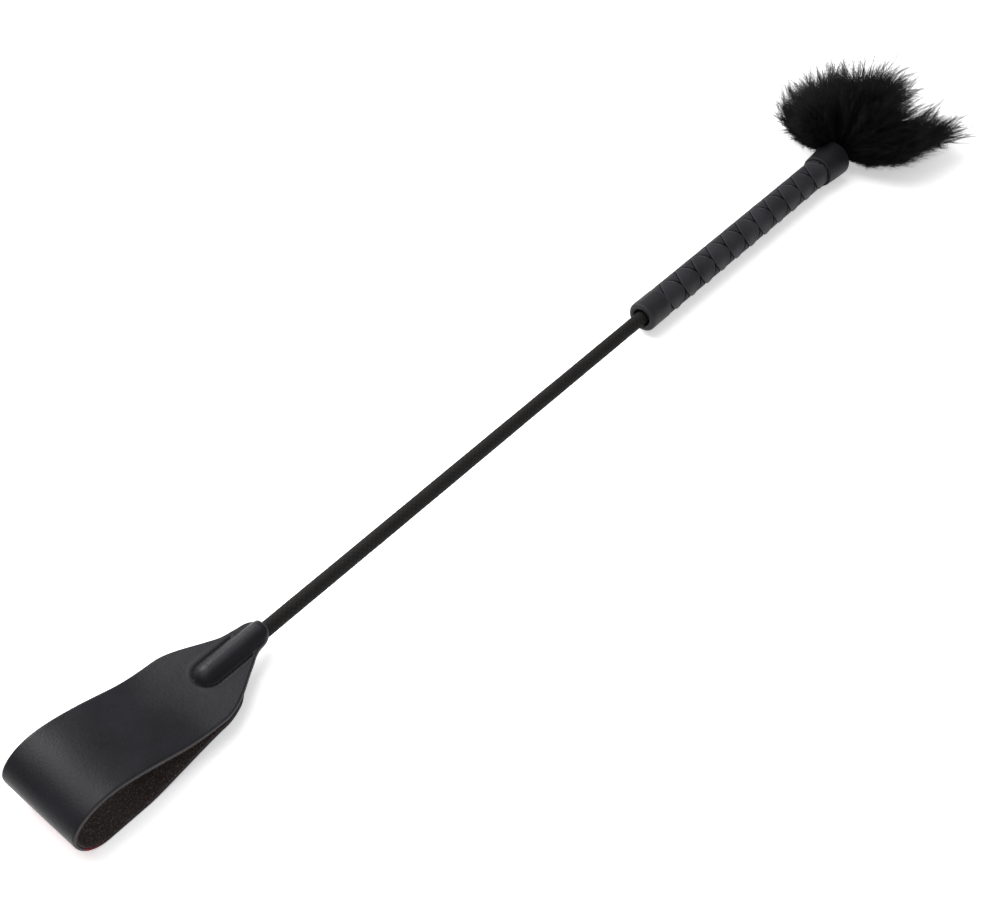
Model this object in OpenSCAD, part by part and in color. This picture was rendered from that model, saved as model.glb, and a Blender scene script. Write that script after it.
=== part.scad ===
// Riding crop with a leather loop keeper (flapper), a braided shaft, a laced grip and a feather tuft.
// The crop lies on z = 0 with its axis along X: flapper towards -X, butt and tuft towards +X.
// The origin is the middle of the bottom of the whole crop's box. Units are millimetres.

/* [Handle] */
// Diameter over the laced grip
grip_d = 19; // [17:0.5:22]
// Length of the plain leather collar at the front of the grip
front_collar_len = 18; // [16:0.5:32]
// Length that one lap of the lacing covers
lap_pitch = 16; // [14:0.1:18]
// Number of laps along the grip
lap_count = 11; // [8:1:12]
// Length of the flared leather collar at the butt
rear_collar_len = 22; // [17:0.5:26]
// Diameter of the rear collar at its wide end
rear_collar_d = 24; // [23:0.5:26]
// Thickness of the grip leather
grip_leather_t = 1.3; // [1:0.1:1.6]
// Turn of the lacing's front line from straight up, towards -Y
lap_roll = 43; // [0:1:60]

/* [Shaft] */
// Diameter of the glass-fibre core rod
rod_d = 6.4; // [5:0.2:7]
// Diameter over the braided sleeve
sleeve_d = 8.3; // [7.6:0.1:9]
// Free length of the shaft from the flapper's neck to the front collar
shaft_len = 310; // [250:1:360]

/* [Flapper] */
// Length of the flapper from the fold to the end of the neck
flapper_len = 137; // [120:1:150]
// Width of the flapper at the fold
flapper_w = 52.6; // [44:0.2:60]
// Thickness of the outer leather
leather_t = 1.6; // [1.2:0.1:2]
// Thickness of the suede lining
lining_t = 1.0; // [0.6:0.1:1.2]
// Height of the upper leaf's bow above the shaft's axis
loop_rise = 16; // [8:0.5:20]
// Length over which the neck widens into the leaf
shoulder_len = 50; // [40:1:60]

/* [Tuft] */
// Length of the longest feather
feather_len = 90; // [70:1:100]
// Widest radius of a feather for each millimetre of its length
feather_plumpness = 0.138; // [0.1:0.002:0.14]

/* [Hidden] */
feather_count = 8;
$fn = 64;
eps = 0.01;

// Stations along the crop.
lap_len = lap_pitch * lap_count;
handle_len = front_collar_len + lap_len + rear_collar_len;
fold_x = -377.8;
neck_x = fold_x + flapper_len;
lip_x = neck_x + shaft_len;
wrap_x = lip_x + front_collar_len;
rear_x = wrap_x + lap_len;
butt_x = lip_x + handle_len;
axis_z = rear_collar_d / 2;

// Grip radii: the core under the leather, the laps on top and the strip below them.
grip_r = grip_d / 2;
core_r = grip_r - grip_leather_t;
lap_top_r = grip_r + 0.1;
lap_low_r = grip_r - 0.3;
plug_wide_r = rear_collar_d / 2 - grip_leather_t - 0.3;
// The rear collar stands out from the laps at its hem and swells most just behind it.
hem_step = 1;
flare_r = grip_r + hem_step + (rear_collar_d / 2 - grip_r - hem_step) * 0.5;

// Edges of a lap: how far each leans along the axis from the grip's side to its front, as a
// share of the pitch, and the gap between one lap's tip and the next lap.
lead_share = 0.57;
tail_share = 0.42;
lap_gap = 0.4;
lead_lean = atan(lead_share * lap_pitch / grip_r);
tail_lean = atan(tail_share * lap_pitch / grip_r);

// Shaft and the leather pocket around its tip.
rod_r = rod_d / 2;
sleeve_r = sleeve_d / 2;
pocket_gap = 0.3;
pocket_r = sleeve_r + pocket_gap;
lining_r = pocket_r + lining_t;
leather_r = lining_r + leather_t;
tip_x = neck_x - 33.5;
cap_len = 8.5;
cap_end_x = tip_x + cap_len;

// Front end of the handle: a turned-in lip, a recess and the bush that holds the shaft.
lip_hole_r = 5.6;
lip_len = 3.5;
lip_round = 1.6;
recess_len = 9;
bush_end = 17.5;
rod_end_x = lip_x + 150;

// Butt: the plug's socket and the bound quills in it.
plug_len = 13;
plug_inset = 0.8;
socket_r = 3.5;
socket_depth = 8;
quill_r = 0.43;
knuckle_r = 0.48;
sunk = 0.1;
quill_circle_r = 1.2;
binding_r = 1.7;
binding_out = 3;

// The flapper's inner surface, seen from the side: [along from fold, above axis] with the
// curve's pull at each end, in order from the neck over the upper leaf, round the fold and back.
table_z = -(axis_z - leather_t - lining_t);
seam_gap = 0.15;
fold_u = leather_t + lining_t;
fold_z = 4;
seam_u = 97;
crest_u = 20;
sole_u = 15;
sole_end_u = 38;
round_pull = 1.657;
LOOP = [
    [[seam_u, seam_gap], [-35, 0], [62, 4], [-32, 10]],
    [[62, 4], [-42, 13], [crest_u, loop_rise], [-42, 0]],
    [[crest_u, loop_rise], [-round_pull * (crest_u - fold_u), 0],
     [fold_u, fold_z], [0, -round_pull * (loop_rise - fold_z)]],
    [[fold_u, fold_z], [0, -round_pull * (fold_z - table_z)],
     [sole_u, table_z], [round_pull * (sole_u - fold_u), 0]],
    [[sole_end_u, table_z], [30, 0], [seam_u, -seam_gap], [45, 0]]
];
steps = 12;

// Stitching of the pocket.
seam_r = 8.3;
seam_end_x = neck_x - 13;
stitch_pitch = 3;
stitch_len = 2.2;
thread_r = 0.35;
seam_z = seam_gap + lining_t + leather_t;

// Each feather: [turn from +X towards +Y, rise, share of the full length, slot in the binding].
// Slot 0 is the middle of the bundle and slots 1 to 7 go round it.
FEATHERS = [
    [86, 6, 0.645, 7], [48, 6, 0.83, 6], [8, 6, 1, 0], [-31, 6, 1, 5],
    [-67, 6, 0.7, 4], [74, 50, 0.62, 1], [8, 48, 0.71, 2], [-50, 46, 0.67, 3]
];
quill_share = 0.16;
rings = 14;

// Smooth curve between two points with a pull at each end.
function curve(seg, t) =
    (2 * t * t * t - 3 * t * t + 1) * seg[0] + (t * t * t - 2 * t * t + t) * seg[1]
    + (3 * t * t - 2 * t * t * t) * seg[2] + (t * t * t - t * t) * seg[3];
function slope(seg, t) =
    (6 * t * t - 6 * t) * seg[0] + (3 * t * t - 4 * t + 1) * seg[1]
    + (6 * t - 6 * t * t) * seg[2] + (3 * t * t - 2 * t) * seg[3];
function outward(v) = [-v[1], v[0]] / -norm(v);
// The loop's side outline, grown outward by t.
function loop_outline(t) = concat(
    [[flapper_len + 1, seam_gap + t]],
    [for (seg = LOOP, i = [0 : steps]) curve(seg, i / steps) + t * outward(slope(seg, i / steps))],
    [[flapper_len + 1, -seam_gap - t]]
);
function smooth(t) = t <= 0 ? 0 : t >= 1 ? 1 : t * t * (3 - 2 * t);
// Half width of the leaf at a distance u from the fold.
function half_w(u) = leather_r + (flapper_w / 2 - leather_r) * smooth((flapper_len - u) / shoulder_len);
// Fullness of a feather, from 0 to 1, at a share t of its plume.
function fullness(t) = pow(sin(180 * pow(t, 0.85)), 0.8);

// Places children made along +Z so that they run along the crop's axis from x.
module along(x) {
    translate([x, 0, axis_z]) rotate([0, 90, 0]) children();
}

module tube(x, len, r_out, r_in) {
    along(x) difference() {
        cylinder(h = len, r = r_out);
        translate([0, 0, -1]) cylinder(h = len + 2, r = r_in);
    }
}

// Solid inside the loop's outline grown by t, cut to the leaf's plan shape.
module loop_block(t, wide) {
    translate([fold_x, wide / 2, axis_z]) rotate([90, 0, 0])
        linear_extrude(height = wide) polygon(loop_outline(t));
}

module leaf_plan() {
    stations = [for (i = [0 : 18]) flapper_len - shoulder_len * i / 18];
    translate([fold_x, 0, -1]) linear_extrude(height = 2 * axis_z + loop_rise)
        polygon(concat(
            [for (u = stations) [u, half_w(u)]], [[-1, flapper_w / 2], [-1, -flapper_w / 2]],
            [for (i = [len(stations) - 1 : -1 : 0]) [stations[i], -half_w(stations[i])]]
        ));
}

// Round-ended rod shape around the shaft's tip.
module tip_shape(r, len) {
    along(tip_x) cylinder(h = len, r = r);
    translate([tip_x, 0, axis_z]) sphere(r = r);
}

module flapper_leather() {
    color([0.21, 0.21, 0.23]) difference() {
        union() {
            intersection() {
                loop_block(lining_t + leather_t, flapper_w + 2);
                leaf_plan();
            }
            tip_shape(leather_r, neck_x - tip_x);
        }
        loop_block(lining_t, flapper_w + 4);
        tip_shape(lining_r, neck_x - tip_x + 1);
    }
}

module flapper_lining() {
    color([0.20, 0.18, 0.18]) difference() {
        union() {
            intersection() {
                loop_block(lining_t, flapper_w + 2);
                leaf_plan();
            }
            tip_shape(lining_r, neck_x - tip_x);
        }
        loop_block(0, flapper_w + 4);
        tip_shape(pocket_r, neck_x - tip_x + 1);
    }
}

// One stitch above the leather and one below it, at a place and heading in the seam.
module stitch(x, y, heading) {
    for (side = [-1, 1])
        translate([x, y, axis_z + side * seam_z]) rotate([0, 90, heading])
            translate([0, 0, -stitch_len / 2]) cylinder(h = stitch_len, r = thread_r, $fn = 16);
}

module pocket_stitching() {
    straight = seam_end_x - tip_x;
    runs = floor(straight / stitch_pitch);
    arcs = round(PI * seam_r / stitch_pitch);
    color([0.08, 0.08, 0.09]) {
        for (side = [-1, 1], i = [0 : runs - 1])
            stitch(tip_x + (i + 0.5) * stitch_pitch, side * seam_r, 0);
        for (i = [0 : arcs - 1]) {
            a = 90 + 180 * (i + 0.5) / arcs;
            stitch(tip_x + seam_r * cos(a), seam_r * sin(a), a + 90);
        }
    }
}

module tip_cap() {
    color([0.1, 0.1, 0.1]) difference() {
        tip_shape(sleeve_r, cap_len);
        along(tip_x) cylinder(h = cap_len + 1, r = rod_r);
    }
}

module core_rod() {
    color([0.55, 0.53, 0.45]) along(tip_x) cylinder(h = rod_end_x - tip_x, r = rod_r);
}

module shaft_sleeve() {
    color([0.15, 0.145, 0.14]) tube(cap_end_x, lip_x + bush_end - cap_end_x, sleeve_r, rod_r);
}

module front_bush() {
    color([0.12, 0.12, 0.12]) {
        tube(lip_x + lip_len, recess_len - lip_len + eps, core_r, lip_hole_r);
        tube(lip_x + recess_len, bush_end - recess_len, core_r, sleeve_r);
    }
}

module handle_core() {
    core_len = handle_len - bush_end - plug_len;
    color([0.45, 0.38, 0.28]) difference() {
        along(lip_x + bush_end) cylinder(h = core_len, r = core_r);
        along(lip_x + bush_end - 1) cylinder(h = rod_end_x - lip_x - bush_end + 1, r = rod_r);
    }
}

module front_collar() {
    color([0.17, 0.17, 0.18]) {
        tube(lip_x + lip_len, front_collar_len - lip_len, grip_r, core_r);
        // The turned-in lip: a ring with a rounded outer front edge.
        along(lip_x) rotate_extrude() union() {
            translate([lip_hole_r, lip_round]) square([grip_r - lip_hole_r, lip_len - lip_round]);
            translate([lip_hole_r + lip_round, 0])
                square([grip_r - lip_hole_r - 2 * lip_round, lip_round]);
            for (r = [lip_hole_r + lip_round, grip_r - lip_round])
                translate([r, lip_round]) circle(r = lip_round);
        }
    }
}

// Half space on the far side of a plane that leans along the axis from x by rise over the radius.
module beyond(x, lean) {
    translate([x, 0, axis_z]) rotate([lap_roll, 0, 0]) rotate([0, lean, 0])
        translate([0, -50, -50]) cube([200, 100, 100]);
}

// One lap: a lens on the front of the grip, between a plane that leans forward and one that
// leans back. They meet on the sides of the grip.
module lap(i, r_out, r_in) {
    x = wrap_x + lap_pitch * (i + lead_share);
    width = lap_pitch * (1 - lead_share - tail_share) - lap_gap;
    intersection() {
        tube(x - lap_pitch, 3 * lap_pitch, r_out, r_in);
        beyond(x, -lead_lean);
        difference() {
            beyond(x - 2 * lap_pitch, 0);
            beyond(x + width, tail_lean);
        }
    }
}

module wrap_strip_over() {
    color([0.18, 0.18, 0.19]) for (i = [0 : lap_count - 1]) lap(i, lap_top_r, core_r);
}

module wrap_strip_under() {
    color([0.14, 0.14, 0.15]) difference() {
        tube(wrap_x, lap_len, lap_low_r, core_r);
        for (i = [0 : lap_count - 1]) lap(i, lap_top_r + 1, core_r - 1);
    }
}

module rear_collar() {
    color([0.12, 0.12, 0.13]) difference() {
        along(rear_x) union() {
            cylinder(h = rear_collar_len / 3, r1 = grip_r + hem_step, r2 = flare_r);
            translate([0, 0, rear_collar_len / 3])
                cylinder(h = rear_collar_len * 2 / 3, r1 = flare_r, r2 = rear_collar_d / 2);
        }
        along(rear_x - 1) cylinder(h = rear_collar_len - plug_len + 1 + eps, r = core_r);
        along(butt_x - plug_len) cylinder(h = plug_len + eps, r1 = core_r, r2 = plug_wide_r);
    }
}

module butt_plug() {
    share = (plug_len - plug_inset) / plug_len;
    color([0.1, 0.1, 0.1]) difference() {
        along(butt_x - plug_len)
            cylinder(h = plug_len - plug_inset, r1 = core_r, r2 = core_r + (plug_wide_r - core_r) * share);
        along(butt_x - plug_inset - socket_depth) cylinder(h = socket_depth + 1, r = socket_r);
    }
}

module quill_binding() {
    color([0.09, 0.09, 0.09]) tube(butt_x - plug_inset - socket_depth, socket_depth + plug_inset + binding_out,
                                   socket_r, binding_r);
}

module feather(i) {
    turn = FEATHERS[i - 1][0];
    rise = FEATHERS[i - 1][1];
    plume_len = feather_len * FEATHERS[i - 1][2];
    slot = FEATHERS[i - 1][3];
    around = 25.7 + (slot - 1) * 360 / 7;
    off = slot == 0 ? 0 : quill_circle_r;
    root = [butt_x + binding_out + 1, off * cos(around), axis_z + off * sin(around)];
    start = butt_x - socket_depth + 1;
    color([0.05, 0.05, 0.06]) {
        translate([start, root[1], root[2]]) rotate([0, 90, 0])
            cylinder(h = root[0] - start, r = quill_r, $fn = 16);
        translate(root) sphere(r = knuckle_r, $fn = 16);
        translate(root) rotate([0, 90 - rise, turn]) {
            rotate_extrude($fn = 32) polygon(concat(
                [[0, -sunk], [quill_r, -sunk], [quill_r, plume_len * quill_share]],
                [for (k = [1 : rings - 1]) let (t = k / rings)
                    [plume_len * feather_plumpness * fullness(t),
                     plume_len * (quill_share + (1 - quill_share) * t)]],
                [[0, plume_len]]
            ));
        }
    }
}

flapper_leather();
flapper_lining();
pocket_stitching();
tip_cap();
core_rod();
shaft_sleeve();
front_bush();
handle_core();
front_collar();
wrap_strip_over();
wrap_strip_under();
rear_collar();
butt_plug();
quill_binding();
for (i = [1 : feather_count])
    feather(i);
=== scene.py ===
"""Looks of a riding crop: leather loop flapper, braided shaft, laced grip and a feather tuft.

The crop lies on z = 0 with its axis along X, the flapper towards -X and the tuft towards +X.
Lengths in the classes are millimetres; meshes are made in metres.
"""
import functools
import logging
import math
from dataclasses import dataclass, field
from enum import Enum
from typing import Any, Callable, Iterable

import bpy
import numpy as np
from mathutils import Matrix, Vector


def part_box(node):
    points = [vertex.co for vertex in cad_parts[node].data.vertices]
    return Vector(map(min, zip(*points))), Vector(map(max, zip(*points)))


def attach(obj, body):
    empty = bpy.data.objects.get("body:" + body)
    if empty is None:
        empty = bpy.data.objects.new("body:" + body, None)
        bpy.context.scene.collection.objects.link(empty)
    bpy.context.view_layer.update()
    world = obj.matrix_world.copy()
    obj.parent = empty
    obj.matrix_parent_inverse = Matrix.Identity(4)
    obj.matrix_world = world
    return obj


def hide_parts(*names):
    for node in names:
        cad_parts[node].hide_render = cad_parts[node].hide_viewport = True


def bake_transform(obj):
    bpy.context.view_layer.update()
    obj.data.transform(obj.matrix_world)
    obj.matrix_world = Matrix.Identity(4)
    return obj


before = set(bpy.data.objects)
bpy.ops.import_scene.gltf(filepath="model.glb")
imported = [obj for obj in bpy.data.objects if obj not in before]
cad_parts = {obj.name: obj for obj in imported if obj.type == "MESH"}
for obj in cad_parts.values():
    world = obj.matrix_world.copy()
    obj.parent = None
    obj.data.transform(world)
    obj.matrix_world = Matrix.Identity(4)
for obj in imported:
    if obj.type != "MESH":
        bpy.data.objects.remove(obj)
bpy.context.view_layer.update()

log = logging.getLogger("riding_crop")
MM = 0.001
CROP = "crop"
Array = np.ndarray
Colour = tuple[float, float, float]

# Millimetres: the camera's aim behind the collar's lip, the feathers' root past the binding,
# and the quills' ends inside it.
AIM_PAST = 4.8
ROOT_PAST = 1.0
QUILL_IN = 1.8


# ---- shader workbench


class Wire:
    """One output socket, with arithmetic that adds Math nodes."""

    def __init__(self, bench: "Bench", socket: bpy.types.NodeSocket) -> None:
        """Keeps the socket and the bench it belongs to."""
        self.bench = bench
        self.socket = socket

    def _math(self, operation: str, *values: Any, clamp: bool = False) -> "Wire":
        """Adds one Math node.

        Args:
            operation: the Math node's operation.
            values: wires or numbers for its sockets.
            clamp: whether the result is held between 0 and 1.

        Returns:
            The node's result.
        """
        return self.bench.add("ShaderNodeMath", {"operation": operation, "use_clamp": clamp},
                              dict(enumerate(values)))

    def __add__(self, other: Any) -> "Wire":
        """self + other."""
        return self._math("ADD", self, other)

    def __radd__(self, other: Any) -> "Wire":
        """other + self."""
        return self._math("ADD", other, self)

    def __sub__(self, other: Any) -> "Wire":
        """self - other."""
        return self._math("SUBTRACT", self, other)

    def __rsub__(self, other: Any) -> "Wire":
        """other - self."""
        return self._math("SUBTRACT", other, self)

    def __mul__(self, other: Any) -> "Wire":
        """self * other."""
        return self._math("MULTIPLY", self, other)

    def __rmul__(self, other: Any) -> "Wire":
        """other * self."""
        return self._math("MULTIPLY", other, self)

    def clamped(self) -> "Wire":
        """self held between 0 and 1."""
        return self._math("ADD", self, 0.0, clamp=True)


class Bench:
    """Builds one material's node tree."""

    def __init__(self, name: str) -> None:
        """Starts an empty material with an output and a Principled shader."""
        self.material = bpy.data.materials.new(f"{name}_look")
        self.material.use_nodes = True
        self.tree = self.material.node_tree
        self.tree.nodes.clear()
        self.output = self.tree.nodes.new("ShaderNodeOutputMaterial")
        self.shader = self.tree.nodes.new("ShaderNodeBsdfPrincipled")
        self.tree.links.new(self.shader.outputs[0], self.output.inputs[0])

    def plug(self, socket: bpy.types.NodeSocket, value: Any) -> None:
        """Sets a socket to a number, colour or vector, or links a wire to it."""
        if isinstance(value, Wire):
            self.tree.links.new(value.socket, socket)
        elif isinstance(value, tuple) and socket.type == "RGBA" and len(value) == 3:
            socket.default_value = (*value, 1.0)
        else:
            socket.default_value = value

    def add(self, kind: str, settings: dict[str, Any] | None = None,
            inputs: dict[Any, Any] | None = None, out: int | str = 0) -> Wire:
        """Adds a node.

        Args:
            kind: the node's type.
            settings: its properties, set before its sockets. "stops" fills a colour ramp.
            inputs: values or wires for its sockets, by name or number.
            out: the output that is wanted.

        Returns:
            That output as a wire.
        """
        node = self.tree.nodes.new(kind)
        for key, value in (settings or {}).items():
            if key == "stops":
                ramp = node.color_ramp.elements
                while len(ramp) < len(value):
                    ramp.new(0.5)
                for element, (place, grey) in zip(ramp, value):
                    element.position = place
                    element.color = (grey, grey, grey, 1.0)
            else:
                setattr(node, key, value)
        for key, value in (inputs or {}).items():
            self.plug(node.inputs[key], value)
        return Wire(self, node.outputs[out])

    def place(self, scale: Colour = (1.0, 1.0, 1.0)) -> Wire:
        """Position on the object in metres, stretched by scale."""
        spot = self.add("ShaderNodeTexCoord", out="Object")
        return self.add("ShaderNodeVectorMath", {"operation": "MULTIPLY"}, {0: spot, 1: scale})

    def noise(self, spot: Wire, per_metre: float, detail: float = 3.0, rough: float = 0.55) -> Wire:
        """Fractal noise from 0 to 1 with per_metre lumps in a metre."""
        return self.add("ShaderNodeTexNoise", {"noise_dimensions": "3D"},
                        {"Vector": spot, "Scale": per_metre, "Detail": detail, "Roughness": rough})

    def cells(self, spot: Wire, per_metre: float, feature: str = "F1") -> Wire:
        """Distance inside Voronoi cells."""
        return self.add("ShaderNodeTexVoronoi", {"feature": feature},
                        {"Vector": spot, "Scale": per_metre}, "Distance")

    def ramp(self, value: Wire, stops: list[tuple[float, float]]) -> Wire:
        """A grey ramp through the given stops."""
        return self.add("ShaderNodeValToRGB", {"stops": stops}, {"Fac": value})

    def mask(self, name: str) -> Wire:
        """A number that the mesh carries at each vertex."""
        return self.add("ShaderNodeAttribute", {"attribute_name": name}, out="Fac")

    def mix(self, share: Any, first: Any, second: Any) -> Wire:
        """Colour between first and second."""
        return self.add("ShaderNodeMix", {"data_type": "RGBA"}, {0: share, 6: first, 7: second}, 2)

    def bump(self, height: Wire, depth: float) -> Wire:
        """Normal from a height from 0 to 1 that stands depth metres."""
        return self.add("ShaderNodeBump", None, {"Strength": 1.0, "Distance": depth, "Height": height})

    def finish(self, **sockets: Any) -> bpy.types.Material:
        """Sets the shader's sockets, named with underscores for spaces.

        Returns:
            The finished material.
        """
        for name, value in sockets.items():
            self.plug(self.shader.inputs[name.replace("_", " ")], value)
        return self.material


def shade(colour: Colour, share: float) -> Colour:
    """The colour made darker or lighter by a share."""
    return tuple(c * share for c in colour)


# ---- finishes


@dataclass(frozen=True)
class Look:
    """What every finish has: a name, which is also its material slot, and a main colour."""

    name: str
    colour: Colour

    def make(self) -> bpy.types.Material:
        """Returns the material."""
        bench = Bench(self.name)
        return bench.finish(**self.sockets(bench))

    def sockets(self, b: Bench) -> dict[str, Any]:
        """The shader's sockets, which each kind of finish fills in its own way."""
        raise NotImplementedError


@dataclass(frozen=True)
class LeatherFinish(Look):
    """Dyed grain leather with paler cut edges, and painted shade darkening its grooves and creases."""

    edge: Colour = (0.11, 0.11, 0.12)
    roughness: float = 0.5
    grain_per_metre: float = 900.0
    grain_depth: float = 0.00012
    gloss: float = 0.17

    def tinted(self, bench: Bench, tone: Wire) -> Wire:
        """Tone of the leather with any added tint; plain leather keeps its own."""
        return tone

    def sockets(self, b: Bench) -> dict[str, Any]:
        """The shader's sockets."""
        spot = b.place()
        pebble = b.cells(spot, self.grain_per_metre, "SMOOTH_F1")
        crease = b.noise(spot, self.grain_per_metre * 0.35, 5.0, 0.6)
        cloud = b.noise(spot, 45.0, 3.0)
        pore = b.ramp(b.cells(spot, self.grain_per_metre * 2.1), [(0.0, 0.0), (0.35, 1.0)])
        height = (pebble * 0.5 + crease * 0.7 + pore * 0.15).clamped()
        dark = shade(self.colour, 0.72)
        tone = b.mix(b.ramp(cloud, [(0.3, 0.0), (0.72, 1.0)]), dark, shade(self.colour, 1.3))
        tone = b.mix((pebble * 0.45).clamped(), tone, dark)
        # The edge mask is a paler cut edge; on the grip's laps it also carries a painted highlight.
        edge = b.mask("edge")
        fibre = b.noise(b.place((1.0, 1.0, 3.0)), 2600.0, 2.0)
        tone = b.mix((edge * (0.55 + fibre * 0.7)).clamped(), tone, self.edge)
        # The groove mask is painted shade: grooves, seams and creases are darkened in the colour.
        groove = b.mask("groove")
        tone = self.tinted(b, b.mix((groove * 0.95).clamped(), tone, shade(self.colour, 0.06)))
        rough = (self.roughness + (cloud - 0.5) * 0.18 + edge * 0.3 + (pore - 0.5) * 0.06
                 + groove * 0.6).clamped()
        return dict(Base_Color=tone, Roughness=rough, Normal=b.bump(height, self.grain_depth),
                    Specular_IOR_Level=self.gloss)


@dataclass(frozen=True)
class FoldLeatherFinish(LeatherFinish):
    """The flapper's leather, with a thin red line low along the fold."""

    worn: Colour = (0.20, 0.012, 0.02)

    def tinted(self, bench: Bench, tone: Wire) -> Wire:
        """Reddens the tone under the fold."""
        worn = bench.mask("worn") * (0.75 + bench.noise(bench.place(), 260.0) * 0.4)
        return bench.mix(worn.clamped(), tone, self.worn)


@dataclass(frozen=True)
class SuedeFinish(Look):
    """Short-napped grey-brown lining with a speckle of paler fibres."""

    speck: Colour

    def sockets(self, b: Bench) -> dict[str, Any]:
        """The shader's sockets."""
        spot = b.place()
        nap = b.noise(spot, 1700.0, 4.0, 0.7)
        patch = b.noise(spot, 120.0, 3.0)
        fleck = b.ramp(b.noise(b.place((1.0, 0.35, 1.0)), 2300.0, 2.0), [(0.52, 0.0), (0.68, 1.0)])
        tone = b.mix(patch, shade(self.colour, 0.7), self.colour)
        tone = b.mix((fleck * 0.75).clamped(), tone, self.speck)
        return dict(Base_Color=tone, Roughness=0.95, Normal=b.bump(nap, 0.00018), Specular_IOR_Level=0.1)


@dataclass(frozen=True)
class ThreadFinish(Look):
    """Waxed or wound thread, with a fine twist."""

    shine: float = 0.55

    def sockets(self, b: Bench) -> dict[str, Any]:
        """The shader's sockets."""
        spot = b.place()
        ply = b.add("ShaderNodeTexWave", {"wave_type": "BANDS", "bands_direction": "DIAGONAL"},
                    {"Vector": spot, "Scale": 900.0, "Distortion": 1.5, "Detail": 2.0}, "Fac")
        lint = b.noise(spot, 4200.0, 2.0)
        # Colour follows the ply bands that also make the bump: painted shade between the plies and painted
        # highlight on them; the lint noise is the thread's own.
        tone = b.mix((ply * 0.6 + lint * 0.3).clamped(), shade(self.colour, 0.55), shade(self.colour, 1.8))
        return dict(Base_Color=tone, Roughness=self.shine, Normal=b.bump(ply, 0.00012),
                    Specular_IOR_Level=0.12)


@dataclass(frozen=True)
class BraidFinish(Look):
    """Plaited textile over the shaft; the strands' relief is in the mesh."""

    def sockets(self, b: Bench) -> dict[str, Any]:
        """The shader's sockets."""
        raised = b.mask("raised")
        yarn = b.noise(b.place((0.4, 1.0, 1.0)), 5200.0, 3.0, 0.7)
        smear = b.noise(b.place((0.25, 1.0, 1.0)), 130.0, 3.0)
        # The raised mask paints shade in the hollows between strands and a highlight on their backs; the
        # yarn and smear noise is the textile's own unevenness.
        share = (raised * 0.75 + (yarn - 0.5) * 0.5 + (smear - 0.5) * 0.5).clamped()
        tone = b.mix(share, shade(self.colour, 0.35), shade(self.colour, 1.55))
        return dict(Base_Color=tone, Roughness=(0.82 - raised * 0.14).clamped(),
                    Normal=b.bump(yarn, 0.0001), Specular_IOR_Level=0.14)


@dataclass(frozen=True)
class FeatherFinish(Look):
    """Soft jet-black barbs, a touch bluer and paler towards their tips."""

    tip: Colour

    def sockets(self, b: Bench) -> dict[str, Any]:
        """The shader's sockets."""
        along = b.mask("along")
        patch = b.noise(b.place(), 90.0, 2.0)
        tone = b.mix((along * 0.8 + (patch - 0.5) * 0.6).clamped(), self.colour, self.tip)
        return dict(Base_Color=tone, Roughness=(0.62 - along * 0.1).clamped(), Specular_IOR_Level=0.09)


@dataclass(frozen=True)
class SolidFinish(Look):
    """Moulded plastic, turned wood or glass fibre: a mottled tone with a fine relief."""

    roughness: float
    stretch: Colour = (1.0, 1.0, 1.0)
    per_metre: float = 600.0
    depth: float = 0.00006

    def sockets(self, b: Bench) -> dict[str, Any]:
        """The shader's sockets."""
        vein = b.noise(b.place(self.stretch), self.per_metre, 4.0)
        tone = b.mix(vein, shade(self.colour, 0.6), shade(self.colour, 1.35))
        rough = (self.roughness + (vein - 0.5) * 0.2).clamped()
        return dict(Base_Color=tone, Roughness=rough, Normal=b.bump(vein, self.depth))


class Finish(Enum):
    """Every finish on the crop, by the record's material slot."""

    FLAPPER = FoldLeatherFinish("flapper_leather", (0.0072, 0.0072, 0.0098), (0.06, 0.06, 0.066), 0.38)
    LINING = SuedeFinish("suede_lining", (0.052, 0.041, 0.038), (0.19, 0.16, 0.148))
    STITCH = ThreadFinish("stitch_thread", (0.006, 0.006, 0.007))
    CAP = SolidFinish("cap_plastic", (0.02, 0.02, 0.02), 0.55)
    ROD = SolidFinish("glass_fibre", (0.30, 0.28, 0.20), 0.4, (0.05, 1.0, 1.0))
    SLEEVE = BraidFinish("braided_sleeve", (0.0125, 0.0115, 0.011))
    BUSH = SolidFinish("bush_plastic", (0.012, 0.012, 0.012), 0.6)
    CORE = SolidFinish("core_wood", (0.20, 0.14, 0.08), 0.6, (0.08, 1.0, 1.0), 300.0)
    COLLAR = LeatherFinish("collar_leather", (0.0165, 0.0165, 0.0185), (0.05, 0.05, 0.055), 0.44)
    # The laps' pale edge colour stands for their cut edge and a painted highlight along the tails.
    LAP = LeatherFinish("lap_leather", (0.0255, 0.0255, 0.0293), (0.16, 0.16, 0.17), 0.42, gloss=0.11)
    STRIP = LeatherFinish("strip_leather", (0.0235, 0.0235, 0.0268), (0.05, 0.05, 0.055), 0.46, gloss=0.06)
    REAR = LeatherFinish("rear_leather", (0.0095, 0.0095, 0.0115), (0.012, 0.012, 0.014), 0.44)
    PLUG = SolidFinish("plug_plastic", (0.012, 0.012, 0.012), 0.6)
    BINDING = ThreadFinish("binding_thread", (0.006, 0.006, 0.006), 0.6)
    FEATHER = FeatherFinish("feather_black", (0.0018, 0.0018, 0.0021), (0.0088, 0.0088, 0.0102))

    @functools.cache
    def material(self) -> bpy.types.Material:
        """The finish's material, made once."""
        return self.value.make()


# ---- mesh helpers


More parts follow.
